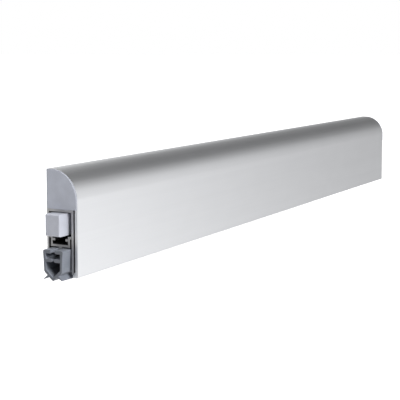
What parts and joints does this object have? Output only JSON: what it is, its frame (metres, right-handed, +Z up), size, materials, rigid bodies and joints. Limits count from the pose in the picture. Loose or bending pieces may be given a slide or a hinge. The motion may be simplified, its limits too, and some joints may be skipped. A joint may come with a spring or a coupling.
{
  "type": "automatic door bottom seal",
  "caption": "Surface-mounted door bottom seal: clip-on aluminium cover, channel housing, spring-driven drop bar with a hollow rubber gasket, and a push plunger at one end.",
  "frame": {"origin": "on the door's face, at the middle of the seal's length and at the housing's lower edge", "axes": "+X along the door from the trigger end to the lock end, +Y into the door, +Z up"},
  "size_m": [0.432, 0.0172, 0.0511],
  "materials": {
    "profile_aluminium": "plain extruded",
    "cover_aluminium": "satin anodised",
    "cap_plastic": "fine moulded grain",
    "plunger_plastic": "smooth moulded",
    "guide_plastic": "smooth moulded",
    "gasket_rubber": "extruded",
    "spring_steel": "rolled",
    "plated_steel": "zinc plated",
    "rivet_aluminium": "plain"
  },
  "bodies": {
    "housing": {"housing_channel": "profile_aluminium", "cover_profile": "cover_aluminium", "end_cap_trigger_side": "cap_plastic", "end_cap_lock_side": "cap_plastic", "plunger_guide": "guide_plastic", "rod_guide": "guide_plastic", "fixed_anchor_a": "plated_steel", "fixed_anchor_b": "plated_steel", "fixed_anchor_pins": "plated_steel", "web_rivets": "rivet_aluminium", "leaf_spring_a": "spring_steel", "leaf_spring_b": "spring_steel"},
    "trigger": {"plunger": "plunger_plastic", "adjusting_stud": "plated_steel", "lock_nut": "plated_steel", "rod_head": "plated_steel", "push_rod": "plated_steel", "sliding_anchor_a": "plated_steel", "sliding_anchor_b": "plated_steel", "sliding_anchor_pins": "plated_steel", "rod_rivets": "rivet_aluminium"},
    "drop_seal": {"drop_bar": "profile_aluminium", "gasket": "gasket_rubber", "spring_shoe_a": "guide_plastic", "spring_shoe_b": "guide_plastic", "shoe_rivets": "rivet_aluminium"}
  },
  "joints": [
    {"name": "drop_slide", "type": "slide", "parent": "housing", "child": "drop_seal", "axis": [0, 0, -1], "range_m": [0, 0.012], "stiffness_N_per_m": 400, "springref_m": -0.02, "deforming": ["leaf_spring_a", "leaf_spring_b"]},
    {"name": "plunger_slide", "type": "slide", "parent": "housing", "child": "trigger", "axis": [1, 0, 0], "range_m": [0, 0.0055]}
  ],
  "couplings": [
    {"joint": "plunger_slide", "follows": "drop_slide", "ratio": 0.4583}
  ]
}
